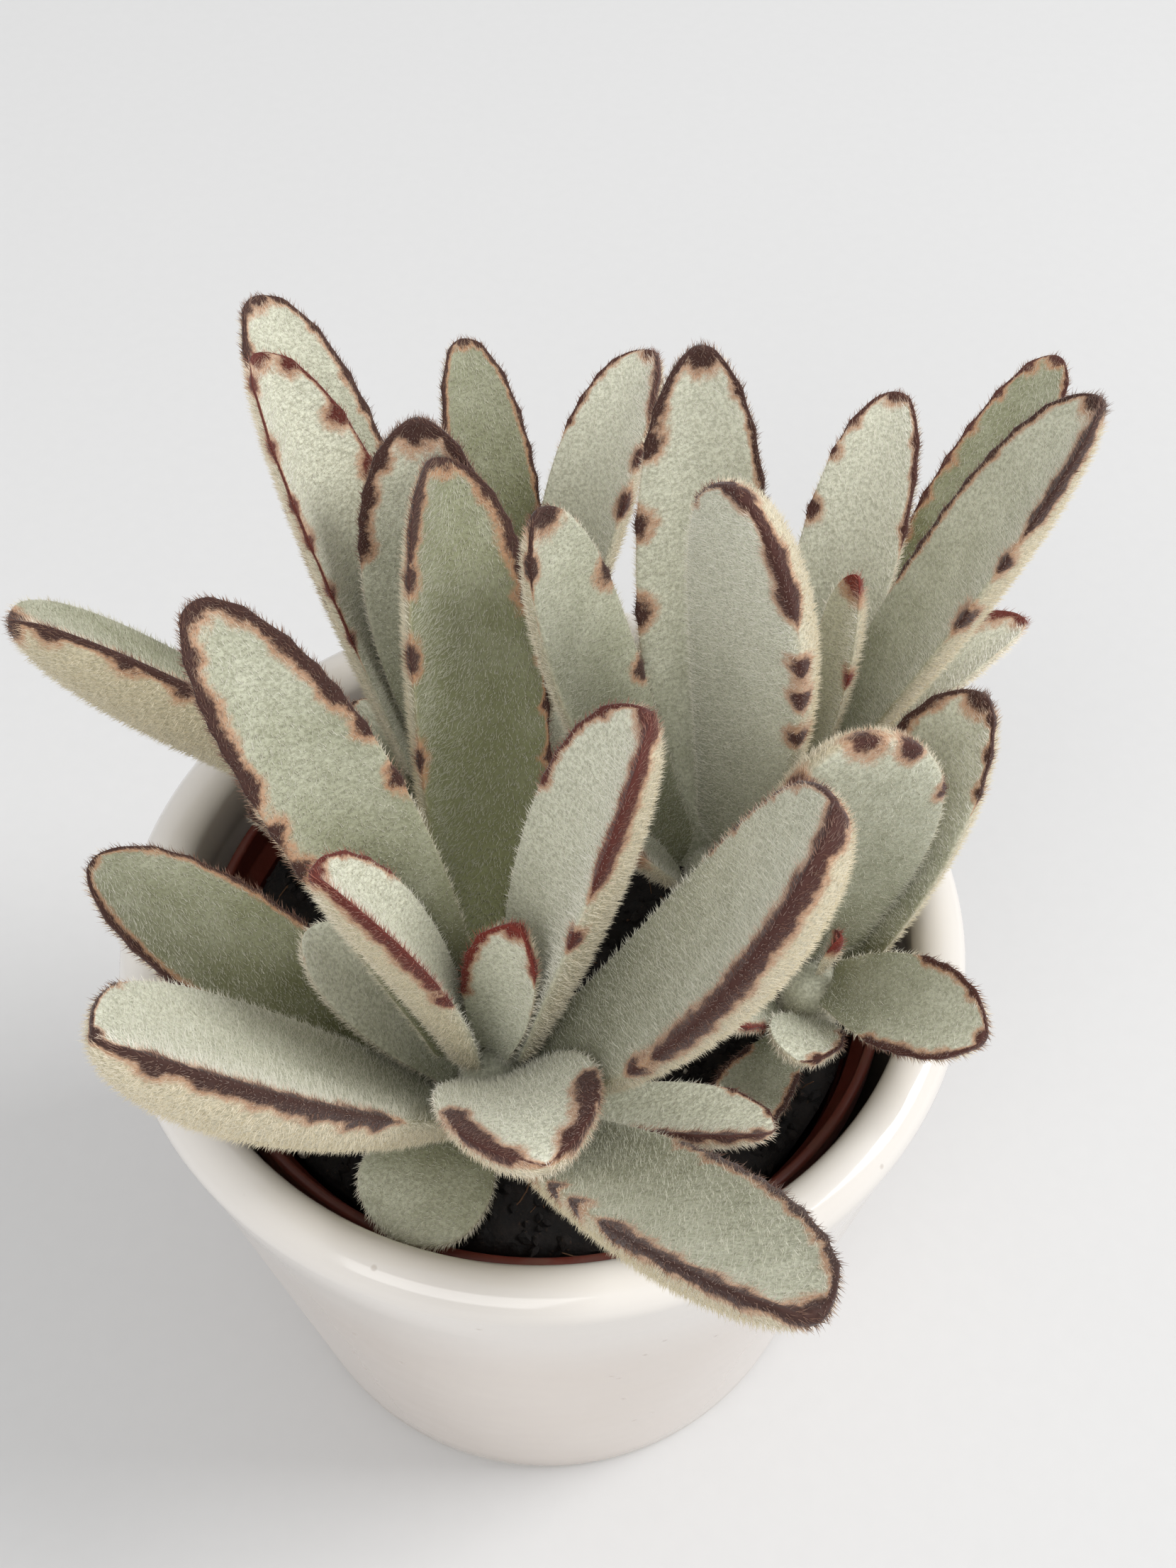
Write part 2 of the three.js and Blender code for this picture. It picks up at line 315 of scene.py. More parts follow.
def turning_tree():
    tree, book, wires = open_tree("turn_profile", {
        "Wheel radius": ("Float", 0.05),
        "Turn steps": ("Int", TURN_STEPS),
        "Corner steps": ("Int", 6),
        "Finish": ("Material", None),
    })
    shift = book.node("ShaderNodeCombineXYZ", None, {0: 0 - wires["Wheel radius"]})
    laid = book.node("GeometryNodeTransform", None, {
        "Geometry": wires["Geometry"], "Rotation": (math.pi / 2, 0, 0)})
    shifted = book.node("GeometryNodeTransform", None, {
        "Geometry": laid, "Translation": shift})
    profile = book.node("GeometryNodeMeshToCurve", None, {"Mesh": shifted})
    rounding = book.node("GeometryNodeInputNamedAttribute", {"data_type": "FLOAT"},
                         {"Name": "rounding"})
    fillet = book.tree.nodes.new("GeometryNodeFilletCurve")
    if hasattr(fillet, "mode"):
        fillet.mode = "POLY"
    book.tree.links.new(profile.socket, fillet.inputs["Curve"])
    book.tree.links.new(rounding.socket, fillet.inputs["Radius"])
    book.tree.links.new(wires["Corner steps"].socket, fillet.inputs["Count"])
    fillet.inputs["Limit Radius"].default_value = True
    wheel = book.node("GeometryNodeCurvePrimitiveCircle", None, {
        "Resolution": wires["Turn steps"], "Radius": wires["Wheel radius"]})
    swept = book.node("GeometryNodeCurveToMesh", None, {
        "Curve": wheel, "Profile Curve": Wire(book, fillet.outputs["Curve"])})
    merged = book.node("GeometryNodeMergeByDistance", None, {
        "Geometry": swept, "Distance": 0.01 * MM})
    whole = book.node("GeometryNodeRealizeInstances", None, {"Geometry": merged})
    close_tree(book, book.node("GeometryNodeSetMaterial", None, {
        "Geometry": whole, "Material": wires["Finish"]}))
    return tree


TURNING = turning_tree()


def turned(name, profile, wheel_radius, made_of, steps=TURN_STEPS):
    """A round piece from (radius, height, corner rounding) points in millimetres."""
    points = [(radius * MM, 0, height * MM) for radius, height, _ in profile]
    edges = [(i, i + 1) for i in range(len(points) - 1)]
    piece = new_piece(name, points, edges=edges)
    rounding = piece.data.attributes.new("rounding", "FLOAT", "POINT")
    rounding.data.foreach_set("value", [size * MM for _, _, size in profile])
    run_tree(piece, TURNING, wheel_radius=wheel_radius * MM, turn_steps=steps, finish=made_of)
    point_outwards(piece)
    smooth(piece)
    return piece


print("the wheel turns profiles with", TURN_STEPS, "steps")

# %% [markdown]
# ## White glaze
#
# The cover pot is earthenware under a thick warm-white glaze. Its colour is set by height:
# painted light makes it whitest on the lip, and painted shade makes it beige below. A fired
# glaze is glossy but never perfect: it ripples a little where it ran, its gloss wanders, a
# few pinholes stay open, and under the foot it is wiped off, which leaves a ring of bare
# clay. All of that comes from noise read at the piece's own coordinates and from two masks
# by height, one for the painted light and shade and one for the bare foot.

# %% Mix the glaze
def white_glaze(book):
    place = book.place()
    height = book.node("ShaderNodeSeparateXYZ", None, {0: place}, "Z")
    ripple = book.noise(place, 55, 2)
    cloud = book.noise(place, 22, 3)
    speck = book.node("ShaderNodeTexVoronoi", {"feature": "F1"}, {"Vector": place, "Scale": 160},
                      "Distance")
    pinhole = 1 - speck.step(0.035, 0.075)
    bare = 1 - (height + cloud * 0.0006).step(0.0006, 0.0013)
    # Painted light and shade by height: whitest towards the lip as painted light, beige below about
    # 62 mm as painted shade; the cloud adds tone at random.
    shade_by_height = 0.1 + (1 - height.step(0.062, 0.098)) * 0.65 + cloud.step(0.35, 0.7) * 0.1
    shaded_glaze = book.mix(shade_by_height, colour(231, 228, 223), colour(206, 190, 177))
    dotted = book.mix(pinhole * 0.35, shaded_glaze, colour(150, 132, 112))
    return {
        "Base Color": book.mix(bare, dotted, colour(222, 208, 188)),
        "Roughness": 0.09 + cloud * 0.09 + bare * 0.6 + pinhole * 0.2,
        "Coat Weight": 0.35,
        "Coat Roughness": 0.06,
        "bump": (ripple + bare * 0.1 - pinhole * 0.06, 0.4 * MM, 0.35),
    }


WHITE_GLAZE = finish("white_glaze", white_glaze)

# %% [markdown]
# ## Cover pot
#
# The pot leans outwards from a rounded foot to a thick rolled lip. The lip is a half round
# as wide as the wall is at the top; below the throat the wall gets thinner. The profile
# runs from the axis under the foot, up the outside, over the lip and down to the floor
# inside. The foot is recessed in the middle, so the pot stands on a ring and doesn't rock.

# %% Turn the cover pot
POT_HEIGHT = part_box("cover_pot")[1].z / MM
POT_RIM = 55.0
POT_FOOT = 43.4
LIP_HALF = 3.5
FOOT_RING = 36.5
FOOT_RECESS = 1.2
INNER_FLOOR = 5

half_turn = [math.radians(angle) for angle in range(0, 181, 15)]
lip = [(POT_RIM - LIP_HALF + LIP_HALF * math.cos(a),
        POT_HEIGHT - LIP_HALF + LIP_HALF * math.sin(a), 0) for a in half_turn]
outside_slope = (POT_RIM - POT_FOOT) / POT_HEIGHT
waist = [(POT_FOOT + outside_slope * z, z, 0) for z in (8, 30, 60, 84)]
cover_profile = [
    (0, FOOT_RECESS, 0), (FOOT_RING - 2.5, FOOT_RECESS, 0.8), (FOOT_RING, 0, 1.0),
    (POT_FOOT, 0, 2.2), *waist, *lip, (49.0, 84.5, 8), (39.4, 7.5, 3),
    (FOOT_RING, INNER_FLOOR, 4), (0, INNER_FLOOR, 0),
]
cover_pot = turned("glazed_cover_pot", cover_profile, 50, WHITE_GLAZE, 176)
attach(cover_pot, "root")
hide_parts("cover_pot")
print("cover pot:", len(cover_pot.data.polygons), "faces")

# %% [markdown]
# ## Nursery pot
#
# The plant was sold in a thin moulded pot of red-brown plastic. Moulded plastic is dull
# rather than matt, faintly streaked along its height, and dusted paler in patches. The pot
# is turned too, with its stiffening bead at the rim, and a tree drills the drain holes: it
# puts a drill on each point of a circle and subtracts them all in one go.

# %% The plastic and the drilling tree
def nursery_plastic(book):
    place = book.place()
    stretched = book.node("ShaderNodeMapping", None, {"Vector": place, "Scale": (1, 1, 0.12)})
    streak = book.noise(stretched, 900, 3)
    grain = book.noise(place, 2600, 2)
    dust = book.noise(place, 260, 4).step(0.5, 0.75)
    base = book.mix(streak, colour(84, 34, 26), colour(104, 46, 36))
    return {
        "Base Color": book.mix(dust * 0.25, base, colour(96, 78, 62)),
        "Roughness": 0.36 + streak * 0.14 + dust * 0.3,
        "bump": (grain + streak * 0.6, 0.05 * MM, 0.5),
    }


def drilling_tree():
    tree, book, wires = open_tree("drill_ring", {
        "Holes": ("Int", 6),
        "Ring radius": ("Float", 0.02),
        "Hole radius": ("Float", 0.003),
        "Drill length": ("Float", 0.006),
        "Ring height": ("Float", 0.0),
        "Finish": ("Material", None),
    })
    ring = book.node("GeometryNodeMeshCircle", None, {
        "Vertices": wires["Holes"], "Radius": wires["Ring radius"]})
    lift = book.node("ShaderNodeCombineXYZ", None, {2: wires["Ring height"]})
    lifted = book.node("GeometryNodeSetPosition", None, {"Geometry": ring, "Offset": lift})
    drill = book.node("GeometryNodeMeshCylinder", None, {
        "Vertices": 24, "Radius": wires["Hole radius"], "Depth": wires["Drill length"]})
    drills = book.node("GeometryNodeInstanceOnPoints", None, {
        "Points": lifted, "Instance": drill})
    whole = book.node("GeometryNodeRealizeInstances", None, {"Geometry": drills})
    cut = book.tree.nodes.new("GeometryNodeMeshBoolean")
    cut.operation = "DIFFERENCE"
    book.tree.links.new(wires["Geometry"].socket, cut.inputs["Mesh 1"])
    book.tree.links.new(whole.socket, cut.inputs["Mesh 2"])
    close_tree(book, book.node("GeometryNodeSetMaterial", None, {
        "Geometry": Wire(book, cut.outputs[0]), "Material": wires["Finish"]}))
    return tree


NURSERY_PLASTIC = finish("nursery_plastic", nursery_plastic)

# %% Turn and drill the nursery pot
low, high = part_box("nursery_pot")
BASE_Z, RIM_Z = low.z / MM, high.z / MM
RIM_R = 45.8
nursery_profile = [
    (0, BASE_Z + 0.4, 0), (26, BASE_Z + 0.4, 0.6), (27, BASE_Z, 0.5), (32, BASE_Z, 1.2),
    (42.9, RIM_Z - 12, 0.6), (43.5, RIM_Z - 11.6, 0.4), (43.8, RIM_Z - 6, 0.2),
    (RIM_R, RIM_Z - 6, 0.5), (RIM_R, RIM_Z, 0.55), (RIM_R - 1.4, RIM_Z, 0.55),
    (RIM_R - 1.5, RIM_Z - 4.6, 0.8), (42.6, RIM_Z - 6.4, 0.4), (42.2, RIM_Z - 11.6, 0.4),
    (41.7, RIM_Z - 12.2, 0.4), (30.8, BASE_Z + 1.4, 0.8), (0, BASE_Z + 1.4, 0),
]
nursery_pot = turned("moulded_nursery_pot", nursery_profile, 40, NURSERY_PLASTIC)
run_tree(nursery_pot, drilling_tree(), ring_height=(BASE_Z + 1) * MM, finish=NURSERY_PLASTIC)
point_outwards(nursery_pot)
smooth(nursery_pot)
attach(nursery_pot, "root")
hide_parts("nursery_pot")
print("nursery pot:", len(nursery_pot.data.polygons), "faces")

# %% [markdown]
# ## Peat
#
# Potting peat is dark brown; here its colour is nearly black, darkened further by painted
# shade, with small crumbs, a few pale bits of perlite and short brown fibres. The bed is
# turned like the pots and its top is roughened by noise; then crumbs, perlite and fibres
# are scattered over it by trees that one recipe builds. A tree that sows needs a fixed
# seed, or the peat would change each time it is built.

# %% Peat finishes
def peat(book):
    place = book.place()
    clump = book.noise(place, 420, 5, 0.65)
    fleck = book.noise(place, 1500, 3)
    # The near-black browns are the peat's own dark colour, darkened further by painted shade.
    base = book.mix(clump.step(0.3, 0.75), colour(7, 5, 4), colour(24, 17, 13))
    return {
        "Base Color": book.mix(fleck.step(0.62, 0.8) * 0.5, base, colour(82, 62, 46)),
        "Roughness": 0.86 + fleck * 0.12,
        "bump": (clump + fleck * 0.4, 0.6 * MM, 0.8),
    }


def perlite(book):
    place = book.place()
    pit = book.noise(place, 2200, 4)
    return {
        "Base Color": book.mix(pit.step(0.35, 0.65), colour(150, 142, 128), colour(214, 208, 196)),
        "Roughness": 0.8 + pit * 0.15,
        "bump": (pit, 0.2 * MM, 0.7),
    }


def fibre(book):
    place = book.place()
    streak = book.noise(place, 1800, 2)
    return {
        "Base Color": book.mix(streak, colour(58, 38, 24), colour(112, 80, 52)),
        "Roughness": 0.8 + streak * 0.1,
        "bump": (streak, 0.1 * MM, 0.6),
    }


PEAT = finish("moist_peat", peat)
PERLITE = finish("perlite", perlite)
FIBRE = finish("root_fibre", fibre)

# %% The roughening and the sowing tree
def roughening_tree():
    """Lifts and lowers the upward-facing skin of a bed by noise."""
    tree, book, wires = open_tree("roughen_top", {
        "Above": ("Float", 0.08),
        "Roughness": ("Float", 0.002),
        "Clumps per metre": ("Float", 230.0),
    })
    place = book.node("GeometryNodeInputPosition")
    height = book.node("ShaderNodeSeparateXYZ", None, {0: place}, "Z")
    big = book.noise(place, wires["Clumps per metre"], 4)
    amount = (big - 0.55) * wires["Roughness"] * 2
    top = (height - wires["Above"]).step(0.0, 0.001)
    lift = book.node("ShaderNodeCombineXYZ", None, {2: amount * top})
    close_tree(book, book.node("GeometryNodeSetPosition", None, {
        "Geometry": wires["Geometry"], "Offset": lift}))
    return tree


def sowing_tree(name, shape):
    """Scatters one small shape over the faces that look up. shape(book) makes it."""
    tree, book, wires = open_tree(name, {
        "Per area": ("Float", 200000.0),
        "Smallest": ("Float", 0.0006),
        "Largest": ("Float", 0.0016),
        "Flatness": ("Float", 0.7),
        "Seed": ("Int", SEED),
        "Finish": ("Material", None),
    })
    normal = book.node("GeometryNodeInputNormal")
    upward = book.node("ShaderNodeSeparateXYZ", None, {0: normal}, "Z")
    facing_up = book.node("FunctionNodeCompare", {"data_type": "FLOAT"}, {0: upward, 1: 0.4})
    points = book.node("GeometryNodeDistributePointsOnFaces", None, {
        "Mesh": wires["Geometry"], "Selection": facing_up,
        "Density": wires["Per area"], "Seed": wires["Seed"]})
    spin = book.node("FunctionNodeRandomValue", {"data_type": "FLOAT_VECTOR"}, {
        0: (-math.pi, -math.pi, -math.pi), 1: (math.pi, math.pi, math.pi),
        "Seed": wires["Seed"]})
    size = book.node("FunctionNodeRandomValue", {"data_type": "FLOAT"}, {
        2: wires["Smallest"], 3: wires["Largest"], "Seed": wires["Seed"]}, 1)
    squashed = book.node("ShaderNodeCombineXYZ", None, {
        0: size, 1: size, 2: size * wires["Flatness"]})
    grains = book.node("GeometryNodeInstanceOnPoints", None, {
        "Points": points, "Instance": shape(book), "Rotation": spin, "Scale": squashed})
    whole = book.node("GeometryNodeRealizeInstances", None, {"Geometry": grains})
    close_tree(book, book.node("GeometryNodeSetMaterial", None, {
        "Geometry": whole, "Material": wires["Finish"]}))
    return tree


def crumb(book):
    ball = book.node("GeometryNodeMeshIcoSphere", None, {"Radius": 1.0, "Subdivisions": 1})
    place = book.node("GeometryNodeInputPosition")
    dent = book.noise(place, 1.3, 2)
    inward = book.node("ShaderNodeVectorMath", {"operation": "SCALE"},
                       {0: place, "Scale": (dent - 0.5) * 1.1})
    return book.node("GeometryNodeSetPosition", None, {"Geometry": ball, "Offset": inward})


def twig(book):
    rod = book.node("GeometryNodeMeshCylinder", None, {
        "Vertices": 5, "Side Segments": 4, "Radius": 0.035, "Depth": 2.0})
    place = book.node("GeometryNodeInputPosition")
    along = book.node("ShaderNodeSeparateXYZ", None, {0: place}, "Z")
    bend = book.node("ShaderNodeCombineXYZ", None, {0: along * along * 0.35})
    return book.node("GeometryNodeSetPosition", None, {"Geometry": rod, "Offset": bend})


print("peat, perlite and fibre are mixed")

# %% Fill the nursery pot
soil_low, soil_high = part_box("soil")
SOIL_TOP = soil_high.z / MM
SOIL_RIM = soil_high.x / MM
level_top = [(SOIL_RIM - 0.2 - step * 0.7, SOIL_TOP - 0.9 * math.exp(-step / 3), 0)
             for step in range(1, 59)]
bed_profile = [
    (0, soil_low.z / MM, 0), (30.0, soil_low.z / MM, 0), (SOIL_RIM - 0.2, SOIL_TOP - 2, 0),
    *level_top, (0, SOIL_TOP, 0),
]
peat_bed = turned("peat_bed", bed_profile, 40, PEAT, 200)
run_tree(peat_bed, roughening_tree(), above=(SOIL_TOP - 1.9) * MM, roughness=2.2 * MM)
smooth(peat_bed, math.radians(60))


def sow(name, tree, made_of, **sizes):
    """A scatter over the peat bed, as a piece of its own."""
    piece = bpy.data.objects.new(name, peat_bed.data.copy())
    scene.collection.objects.link(piece)
    run_tree(piece, tree, finish=made_of, **sizes)
    piece.data.materials.clear()
    piece.data.materials.append(made_of)
    return piece


CRUMBS = sowing_tree("sow_crumbs", crumb)
TWIGS = sowing_tree("sow_twigs", twig)
peat_crumbs = sow("peat_crumbs", CRUMBS, PEAT, per_area=330000.0, smallest=0.35 * MM,
                  largest=1.15 * MM)
perlite_bits = sow("perlite_bits", CRUMBS, PERLITE, per_area=5200.0, smallest=0.35 * MM,
                   largest=0.9 * MM, seed=SEED + 1)
root_fibres = sow("root_fibres", TWIGS, FIBRE, per_area=34000.0, smallest=1.2 * MM,
                  largest=3.2 * MM, flatness=1.0, seed=SEED + 2)
for part in (peat_bed, peat_crumbs, perlite_bits, root_fibres):
    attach(part, "root")
    print(part.name, len(part.data.polygons), "faces")
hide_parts("soil")

# %% [markdown]
# ## Felt
#
# A panda plant's leaf is a firm green body under a coat of short white hairs. The hairs
# give it its pale, powdery look, and the green only shows through. The upper face is
# greener, the keel below is creamy, and the toothed margin near the tip carries
# chocolate-brown to rust-red marks with a tan halo.
#
# The body and the hairs share one recipe for the marks. Each point of a leaf stores how
# deep inside a mark it lies (`mark`, above 0 inside), so the finish only has to fray that
# edge with noise. `olive` says how green the leaf is, `cream` how much it is keel, and
# `rust` whether its marks are brown or red.

# %% Leaf body and hair finishes
SAGE = colour(224, 225, 206)
OLIVE = colour(116, 119, 80)
CREAM = colour(222, 208, 176)
TAN = colour(186, 134, 100)
CHOCOLATE = colour(60, 28, 17)
RUST = colour(118, 34, 20)


def frayed(book, place, spread):
    """How deep inside a mark a point is, with its edge frayed by fine and broad noise."""
    fine = book.noise(place, 1100, 4, 0.75)
    broad = book.noise(place, 300, 2)
    return book.stored("mark") + (fine - 0.5) * spread + (broad - 0.5) * spread * 1.1


def tufts(book, place):
    """Where the felt parts and lets the green leaf show."""
    return book.noise(place, 2300, 3, 0.65).step(0.36, 0.66)


def leaf_body(book):
    place = book.place()
    fine = book.noise(place, 2400, 3, 0.6)
    cloud = book.noise(place, 210, 3)
    tuft = tufts(book, place)
    depth = frayed(book, place, 1.0)
    green = book.mix((book.stored("olive") + (cloud - 0.5) * 0.5).step(-0.1, 1.1), SAGE, OLIVE)
    creamy = book.mix(book.stored("cream") * 0.75, green, CREAM)
    body = book.mix(tuft * 0.42, creamy, colour(96, 94, 64))
    haloed = book.mix(depth.step(-0.55, 0.05) * 0.75, body, TAN)
    marks = book.mix(book.stored("rust"), CHOCOLATE, RUST)
    dark = depth.step(-0.05, 0.4)
    return {
        "Base Color": book.mix(dark, haloed, marks),
        "Roughness": 0.62 + fine * 0.25,
        "Sheen Weight": 0.25,
        "Sheen Roughness": 0.45,
        "bump": (fine + cloud * 1.5, 0.18 * MM, 0.6),
    }


def leaf_hair(book):
    place = book.place()
    depth = frayed(book, place, 1.2)
    tone = book.noise(place, 1300, 2)
    tuft = tufts(book, place)
    pale = book.mix(tone, colour(236, 233, 220), colour(255, 253, 247))
    dull = book.stored("olive") * 0.5 + tuft * 0.16
    shade = book.mix(dull, pale, colour(158, 158, 118))
    creamy = book.mix(book.stored("cream") * 0.6, shade, colour(238, 226, 200))
    marks = book.mix(book.stored("rust"), colour(94, 50, 32), colour(158, 56, 34))
    haloed = book.mix(depth.step(-0.5, 0.1) * 0.55, creamy, colour(206, 156, 112))
    return {
        "Base Color": book.mix(depth.step(-0.05, 0.5) * (0.7 + tone * 0.35), haloed, marks),
        "Roughness": 0.5 + tone * 0.15,
        "Sheen Weight": 0.3,
    }


LEAF_BODY = finish("leaf_body", leaf_body)
LEAF_HAIR = finish("leaf_hair", leaf_hair)
print("felt is two finishes:", LEAF_BODY.name, "and", LEAF_HAIR.name)

# %% [markdown]
# ## The hair tree
#
# A hair is a closed three-sided spike, four faces in all, because there are thousands of
# them. The tree sows points over the leaf, stands a spike on each, and leans it towards
# the leaf's tip along the stored direction `grow`, with some untidiness. What the leaf's
# points store travels with the sown points, so each hair knows the mark it stands in.
#
# The hairs also get a place of their own in the piece's unwrapped map: each spike covers
# a small triangle beside the others, at the spot where it grows.

# %% Build the hair tree
MAP_HALF = 0.5
MAP_EDGE = 0.015
MAP_WIDTH = 0.47
MAP_HEIGHT = 0.97


def hair_tree():
    tree, book, wires = open_tree("grow_hairs", {
        "Per area": ("Float", 5000000.0),
        "Shortest": ("Float", 0.0005),
        "Longest": ("Float", 0.001),
        "Thickness": ("Float", 0.00004),
        "Lean": ("Float", 0.8),
        "Untidiness": ("Float", 0.5),
        "Patch size": ("Float", 0.004),
        "Seed": ("Int", SEED),
        "Body finish": ("Material", None),
        "Hair finish": ("Material", None),
    })

    def stored(name, kind="FLOAT_VECTOR"):
        settings = {"data_type": kind}
        return book.node("GeometryNodeInputNamedAttribute", settings, {"Name": name})

    def vector(operation, *values, **named):
        inputs = dict(enumerate(values))
        inputs.update(named)
        return book.node("ShaderNodeVectorMath", {"operation": operation}, inputs)

    body = book.node("GeometryNodeSetMaterial", None, {
        "Geometry": wires["Geometry"], "Material": wires["Body finish"]})
    sown = book.tree.nodes.new("GeometryNodeDistributePointsOnFaces")
    book.tree.links.new(wires["Geometry"].socket, sown.inputs["Mesh"])
    book.tree.links.new(wires["Per area"].socket, sown.inputs["Density"])
    book.tree.links.new(wires["Seed"].socket, sown.inputs["Seed"])
    normal = Wire(book, sown.outputs["Normal"])
    leaning = vector("SCALE", stored("grow"), Scale=wires["Lean"])
    stray = book.node("FunctionNodeRandomValue", {"data_type": "FLOAT_VECTOR"}, {
        0: (-1, -1, -1), 1: (1, 1, 1), "Seed": wires["Seed"]})
    straying = vector("SCALE", stray, Scale=wires["Untidiness"])
    aim = vector("ADD", vector("ADD", normal, leaning), straying)
    rotation = book.node("FunctionNodeAlignRotationToVector", {"axis": "Z"}, {"Vector": aim})
    length = book.node("FunctionNodeRandomValue", {"data_type": "FLOAT"}, {
        2: wires["Shortest"], 3: wires["Longest"], "Seed": wires["Seed"] + 1}, 1)
    size = book.node("ShaderNodeCombineXYZ", None, {
        0: wires["Thickness"], 1: wires["Thickness"], 2: length})
    spike = book.node("GeometryNodeMeshCone", {"fill_type": "NGON"}, {
        "Vertices": 3, "Side Segments": 1, "Fill Segments": 1,
        "Radius Top": 0.0, "Radius Bottom": 1.0, "Depth": 1.0})
    spot = vector("MULTIPLY", book.node("GeometryNodeInputPosition"), (1, 1, 0))
    spike = book.node("GeometryNodeStoreNamedAttribute",
                      {"data_type": "FLOAT_VECTOR", "domain": "POINT"},
                      {"Geometry": spike, "Name": "spot", "Value": spot})
    hairs = book.node("GeometryNodeInstanceOnPoints", None, {
        "Points": Wire(book, sown.outputs["Points"]), "Instance": spike,
        "Rotation": rotation, "Scale": size})
    whole = book.node("GeometryNodeRealizeInstances", None, {"Geometry": hairs})
    shift = vector("SCALE", stored("spot"), Scale=wires["Patch size"])
    beside = vector("ADD", vector("MULTIPLY", stored("root"), (MAP_WIDTH, MAP_HEIGHT, 0)),
                    (MAP_HALF + MAP_EDGE, MAP_EDGE, 0))
    mapped = book.node("GeometryNodeStoreNamedAttribute",
                       {"data_type": "FLOAT2", "domain": "CORNER"},
                       {"Geometry": whole, "Name": "OFBake", "Value": vector("ADD", beside, shift)})
    coloured = book.node("GeometryNodeSetMaterial", None, {
        "Geometry": mapped, "Material": wires["Hair finish"]})
    both = book.tree.nodes.new("GeometryNodeJoinGeometry")
    book.tree.links.new(coloured.socket, both.inputs[0])
    book.tree.links.new(body.socket, both.inputs[0])
    result = Wire(book, both.outputs[0])
    for spent in ("spot", "grow", "root"):
        result = book.node("GeometryNodeRemoveAttribute", None, {
            "Geometry": result, "Name": spent})
    close_tree(book, result)
    return tree


HAIRS = hair_tree()
print("hair tree:", len(HAIRS.nodes), "nodes")

# %% [markdown]
# ## From a faceted solid to a leaf skin
#
# The measured leaf is a plain solid: a base point, eight rings of twelve points, and a tip
# point. The skin lies on smooth curves that pass through all of those points.
# First each ring is read in order, starting at the middle of the leaf's upper face. Then
# Catmull-Rom weights, which pass through every given point, fill in each ring; and last
# each line from base to tip is filled in. A line runs over the tip and back down the other
# side as one loop, which makes the tip round instead of pointed.

# %% Read the rings of a leaf
RING_POINTS = 12


def plain_solid(node):
    """The merged solid of one measured part."""
    solid = bmesh.new()
    solid.from_mesh(frame["nodes"][node].data)
    bmesh.ops.remove_doubles(solid, verts=solid.verts, dist=0.001 * MM)
    return solid


def stem_line(leaf):
    """Foot and top of the stem that a leaf grows on."""
    lowest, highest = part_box("stem_" + leaf.split("_")[1])
    middle = (lowest + highest) / 2
    return Vector((middle.x, middle.y, lowest.z)), Vector((middle.x, middle.y, highest.z))


def off_line(point, foot, top):
    share = max(0.0, min(1.0, (point - foot).dot(top - foot) / (top - foot).length_squared))
    return (point - foot.lerp(top, share)).length


def in_order(ring, axis):
    """A ring's points as a loop, from the middle of the upper face, anticlockwise."""
    centre = sum((v.co for v in ring), Vector()) / len(ring)
    first = min(ring, key=lambda v: (v.co - centre).length)
    members = set(ring)
    loop = [first]
    while len(loop) < len(ring):
        beside = [e.other_vert(loop[-1]) for e in loop[-1].link_edges]
        loop.append(next(v for v in beside if v in members and v not in loop))
    area = sum((a.co.cross(b.co) for a, b in zip(loop, loop[1:] + loop[:1])), Vector())
    if area.dot(axis) < 0:
        loop = loop[:1] + loop[:0:-1]
    return [tuple(v.co) for v in loop]


def leaf_rings(leaf):
    """Base point, rings from base to tip, and tip point of a leaf."""
    solid = plain_solid(leaf)
    foot, top = stem_line(leaf)
    poles = [v for v in solid.verts if len(v.link_edges) == RING_POINTS]
    poles.sort(key=lambda v: off_line(v.co, foot, top))
    base, tip = poles
    axis = tip.co - base.co
    seen, edge, rings = {base}, [base], []
    while tip not in seen:
        edge = list({e.other_vert(v) for v in edge for e in v.link_edges} - seen)
        seen.update(edge)
        if tip not in seen:
            rings.append(in_order(edge, axis))
    ends = np.array(base.co), np.array(tip.co)
    solid.free()
    return ends[0], np.array(rings), ends[1]


print("rings of one leaf:", leaf_rings("leaf_front_4")[1].shape)

# %% Fill in the skin
def loop_weights(count, places):
    """Weights of a closed loop's points for each place on it, by Catmull-Rom."""
    places = np.asarray(places, float) % count
    start = np.floor(places).astype(int)
    t = places - start
    shares = {-1: (-t + 2 * t**2 - t**3) / 2, 0: (2 - 5 * t**2 + 3 * t**3) / 2,
              1: (t + 4 * t**2 - 3 * t**3) / 2, 2: (-t**2 + t**3) / 2}
    weights = np.zeros((len(places), count))
    for shift, share in shares.items():
        np.add.at(weights, (np.arange(len(places)), (start + shift) % count), share)
    return weights


def leaf_skin(leaf, around, along):
    """Points of the fine skin: (along + 1) rows from base to tip of (around) points."""
    base, rings, tip = leaf_rings(leaf)
    fine = np.einsum("uj,kjc->kuc", loop_weights(RING_POINTS, np.arange(around)
                                                 * RING_POINTS / around), rings)
    back = np.roll(fine, -around // 2, axis=1)[::-1]
    shape = (1, around, 3)
    loops = np.concatenate([np.broadcast_to(base, shape), fine,
                            np.broadcast_to(tip, shape), back])
    rows = loop_weights(len(loops), np.linspace(0, len(rings) + 1, along + 1))
    return np.einsum("vk,kuc->vuc", rows, loops)


AROUND = 44
ALONG = 56
print("fine skin of one leaf:", leaf_skin("leaf_front_4", AROUND, ALONG).shape)

# %% [markdown]
# ## What each leaf looks like
#
# Young leaves at the heart of a stem are nearly white with rust-red tips; older ones are
# greener with chocolate margins. One line per leaf says how green it is, how red its marks
# are, and where the marks sit. A mark is a row of spots on one margin: which margin, from
# where to where (0 is the base, 1 the tip), how many spots, how wide in millimetres, how
# much they have run together and, on the leaf seen from its tip, how far in from the
# margin they lie. A margin is named by the side it faces, as seen from the front: near,
# far, left or right. `tip` is a single spot over the tip, with its reach in millimetres.

